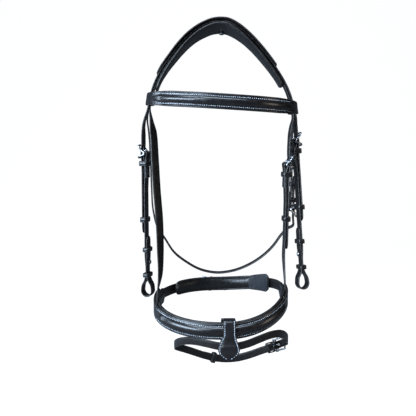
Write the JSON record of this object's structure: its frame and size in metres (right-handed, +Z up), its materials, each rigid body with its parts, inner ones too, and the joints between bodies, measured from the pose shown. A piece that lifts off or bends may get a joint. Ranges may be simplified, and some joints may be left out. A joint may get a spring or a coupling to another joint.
{
  "type": "snaffle bridle",
  "caption": "Black leather headstall for a horse with padded crown, browband, buckled cheekpieces with bit loops, throatlatch and padded noseband with a lower strap.",
  "frame": {"origin": "middle of the padded headpiece's underside, where it rests on the poll", "axes": "+Z up, -Y forwards (forehead and nose side), +X to the horse's near (left) side"},
  "size_m": [0.2728, 0.2357, 0.5654],
  "materials": {
    "crown_padding": "soft black padded leather",
    "crown_cover": "satin black strap leather",
    "crown_stud": "polished stainless steel",
    "headpiece_strap": "satin black strap leather",
    "cheek_billet_off": "satin black strap leather",
    "cheekpiece_off": "satin black strap leather",
    "cheek_off_buckle_frame": "polished stainless steel",
    "cheek_off_buckle_tongue": "polished stainless steel",
    "cheek_fixed_keeper_off": "satin black strap leather",
    "cheek_sliding_keeper_off": "satin black strap leather",
    "bit_upper_keeper_off": "satin black strap leather",
    "bit_lower_keeper_off": "satin black strap leather",
    "hook_stud_off": "polished stainless steel",
    "cheek_billet_near": "satin black strap leather",
    "cheekpiece_near": "satin black strap leather",
    "cheek_near_buckle_frame": "polished stainless steel",
    "cheek_near_buckle_tongue": "polished stainless steel",
    "cheek_fixed_keeper_near": "satin black strap leather",
    "cheek_sliding_keeper_near": "satin black strap leather",
    "bit_upper_keeper_near": "satin black strap leather",
    "bit_lower_keeper_near": "satin black strap leather",
    "hook_stud_near": "polished stainless steel",
    "browband": "satin black strap leather",
    "browband_raised": "soft black padded leather",
    "noseband_headstrap": "satin black strap leather",
    "noseband_hanger_near": "satin black strap leather",
    "hanger_buckle_frame": "polished stainless steel",
    "hanger_buckle_tongue": "polished stainless steel",
    "hanger_fixed_keeper": "satin black strap leather",
    "hanger_sliding_keeper": "satin black strap leather",
    "noseband_leather": "satin black strap leather",
    "noseband_padding": "soft black padded leather",
    "noseband_raised": "soft black padded leather",
    "flash_loop": "satin black strap leather",
    "chin_strap_near": "satin black strap leather",
    "chin_strap_off": "satin black strap leather",
    "chin_buckle_frame": "polished stainless steel",
    "chin_buckle_tongue": "polished stainless steel",
    "chin_fixed_keeper": "satin black strap leather",
    "chin_sliding_keeper": "satin black strap leather",
    "chin_pad": "soft black padded leather",
    "flash_strap": "satin black strap leather",
    "flash_buckle_frame": "polished stainless steel",
    "flash_buckle_tongue": "polished stainless steel",
    "flash_fixed_keeper": "satin black strap leather",
    "flash_sliding_keeper": "satin black strap leather",
    "throat_headstrap": "satin black strap leather",
    "throat_buckle_frame": "polished stainless steel",
    "throat_buckle_tongue": "polished stainless steel",
    "throat_fixed_keeper": "satin black strap leather",
    "throat_sliding_keeper": "satin black strap leather",
    "throatlatch": "satin black strap leather",
    "throat_billet": "satin black strap leather"
  },
  "bodies": {
    "headpiece": {"crown_padding": "crown_padding", "crown_cover": "crown_cover", "crown_stud": "crown_stud", "headpiece_strap": "headpiece_strap", "noseband_headstrap": "noseband_headstrap", "noseband_hanger_near": "noseband_hanger_near", "hanger_buckle_frame": "hanger_buckle_frame", "hanger_fixed_keeper": "hanger_fixed_keeper", "throat_headstrap": "throat_headstrap", "throat_buckle_frame": "throat_buckle_frame", "throat_fixed_keeper": "throat_fixed_keeper", "throat_billet": "throat_billet"},
    "browband": {"browband": "browband", "browband_raised": "browband_raised"},
    "throatlatch": {"throatlatch": "throatlatch"},
    "noseband": {"noseband_leather": "noseband_leather", "noseband_padding": "noseband_padding", "noseband_raised": "noseband_raised", "flash_loop": "flash_loop", "chin_strap_near": "chin_strap_near", "chin_strap_off": "chin_strap_off", "chin_buckle_frame": "chin_buckle_frame", "chin_fixed_keeper": "chin_fixed_keeper"},
    "chin_pad": {"chin_pad": "chin_pad"},
    "flash": {"flash_strap": "flash_strap", "flash_buckle_frame": "flash_buckle_frame", "flash_fixed_keeper": "flash_fixed_keeper"},
    "cheek_off": {"cheek_billet_off": "cheek_billet_off", "cheekpiece_off": "cheekpiece_off", "cheek_off_buckle_frame": "cheek_off_buckle_frame", "cheek_fixed_keeper_off": "cheek_fixed_keeper_off", "bit_upper_keeper_off": "bit_upper_keeper_off", "bit_lower_keeper_off": "bit_lower_keeper_off", "hook_stud_off": "hook_stud_off"},
    "cheek_near": {"cheek_billet_near": "cheek_billet_near", "cheekpiece_near": "cheekpiece_near", "cheek_near_buckle_frame": "cheek_near_buckle_frame", "cheek_fixed_keeper_near": "cheek_fixed_keeper_near", "bit_upper_keeper_near": "bit_upper_keeper_near", "bit_lower_keeper_near": "bit_lower_keeper_near", "hook_stud_near": "hook_stud_near"},
    "cheek_off_tongue": {"cheek_off_buckle_tongue": "cheek_off_buckle_tongue"},
    "cheek_near_tongue": {"cheek_near_buckle_tongue": "cheek_near_buckle_tongue"},
    "hanger_tongue": {"hanger_buckle_tongue": "hanger_buckle_tongue"},
    "throat_tongue": {"throat_buckle_tongue": "throat_buckle_tongue"},
    "chin_tongue": {"chin_buckle_tongue": "chin_buckle_tongue"},
    "flash_tongue": {"flash_buckle_tongue": "flash_buckle_tongue"},
    "cheek_off_keeper": {"cheek_sliding_keeper_off": "cheek_sliding_keeper_off"},
    "cheek_near_keeper": {"cheek_sliding_keeper_near": "cheek_sliding_keeper_near"},
    "hanger_keeper": {"hanger_sliding_keeper": "hanger_sliding_keeper"},
    "throat_keeper": {"throat_sliding_keeper": "throat_sliding_keeper"},
    "chin_keeper": {"chin_sliding_keeper": "chin_sliding_keeper"},
    "flash_keeper": {"flash_sliding_keeper": "flash_sliding_keeper"}
  },
  "joints": [
    {"name": "browband_tilt", "type": "hinge", "parent": "headpiece", "child": "browband", "pos_m": [0, 0.002, -0.1162], "axis": [1, 0, 0], "range_deg": [-3, 3]},
    {"name": "cheek_off_swing", "type": "hinge", "parent": "headpiece", "child": "cheek_off", "pos_m": [-0.12316, -0.00145, -0.172], "axis": [0.309, 0.9511, 0], "range_deg": [0, 30]},
    {"name": "cheek_near_swing", "type": "hinge", "parent": "headpiece", "child": "cheek_near", "pos_m": [0.11901, -0.00005, -0.15291], "axis": [0.2028, -0.9743, 0.0978], "range_deg": [0, 30]},
    {"name": "noseband_nod", "type": "hinge", "parent": "headpiece", "child": "noseband", "pos_m": [-0.00077, -0.02668, -0.42905], "axis": [0.9958, 0.018, 0.0902], "range_deg": [-4, 3]},
    {"name": "chin_pad_slide", "type": "hinge", "parent": "noseband", "child": "chin_pad", "pos_m": [-0.001, -0.01, -0.426], "axis": [0, 0, 1], "range_deg": [-3, 3]},
    {"name": "flash_hang", "type": "hinge", "parent": "noseband", "child": "flash", "pos_m": [0.013, -0.112, -0.4743], "axis": [1, 0, 0], "range_deg": [-25, 0]},
    {"name": "throatlatch_swing", "type": "hinge", "parent": "headpiece", "child": "throatlatch", "pos_m": [0.00417, 0.02881, -0.24647], "axis": [0.8934, 0.0196, -0.4489], "range_deg": [-8, 8]},
    {"name": "cheek_off_tongue_open", "type": "hinge", "parent": "cheek_off", "child": "cheek_off_tongue", "pos_m": [-0.1184, -0.003, -0.194], "axis": [-0.309, -0.9511, 0], "range_deg": [0, 45]},
    {"name": "cheek_near_tongue_open", "type": "hinge", "parent": "cheek_near", "child": "cheek_near_tongue", "pos_m": [0.1155, -0.003, -0.175], "axis": [-0.2028, 0.9743, -0.0978], "range_deg": [0, 45]},
    {"name": "hanger_tongue_open", "type": "hinge", "parent": "headpiece", "child": "hanger_tongue", "pos_m": [0.1005, -0.018, -0.211], "axis": [-0.0697, 0.9976, 0.0008], "range_deg": [0, 45]},
    {"name": "throat_tongue_open", "type": "hinge", "parent": "headpiece", "child": "throat_tongue", "pos_m": [0.117, 0.03, -0.286], "axis": [0, -0.9976, -0.0698], "range_deg": [0, 45]},
    {"name": "chin_tongue_open", "type": "hinge", "parent": "noseband", "child": "chin_tongue", "pos_m": [-0.014, 0.0974, -0.4289], "axis": [0.012, 0, -0.9999], "range_deg": [0, 45]},
    {"name": "flash_tongue_open", "type": "hinge", "parent": "flash", "child": "flash_tongue", "pos_m": [0.08921, -0.004, -0.50989], "axis": [-0.2797, 0.3963, 0.8745], "range_deg": [0, 45]},
    {"name": "cheek_off_keeper_slide", "type": "slide", "parent": "cheek_off", "child": "cheek_off_keeper", "axis": [0, 0, -1], "range_m": [-0.045, 0.012]},
    {"name": "cheek_near_keeper_slide", "type": "slide", "parent": "cheek_near", "child": "cheek_near_keeper", "axis": [0.0626, -0.0868, -0.9943], "range_m": [-0.045, 0.012]},
    {"name": "hanger_keeper_slide", "type": "slide", "parent": "headpiece", "child": "hanger_keeper", "axis": [-0.012, 0, -0.9999], "range_m": [-0.035, 0.02]},
    {"name": "throat_keeper_slide", "type": "slide", "parent": "headpiece", "child": "throat_keeper", "axis": [0, -0.0698, 0.9976], "range_m": [-0.008, 0.008]},
    {"name": "chin_keeper_slide", "type": "slide", "parent": "noseband", "child": "chin_keeper", "axis": [0.9999, 0, 0.012], "range_m": [-0.002, 0.002]},
    {"name": "flash_keeper_slide", "type": "slide", "parent": "flash", "child": "flash_keeper", "axis": [-0.9389, -0.2058, 0.276], "range_m": [-0.003, 0.003]}
  ]
}
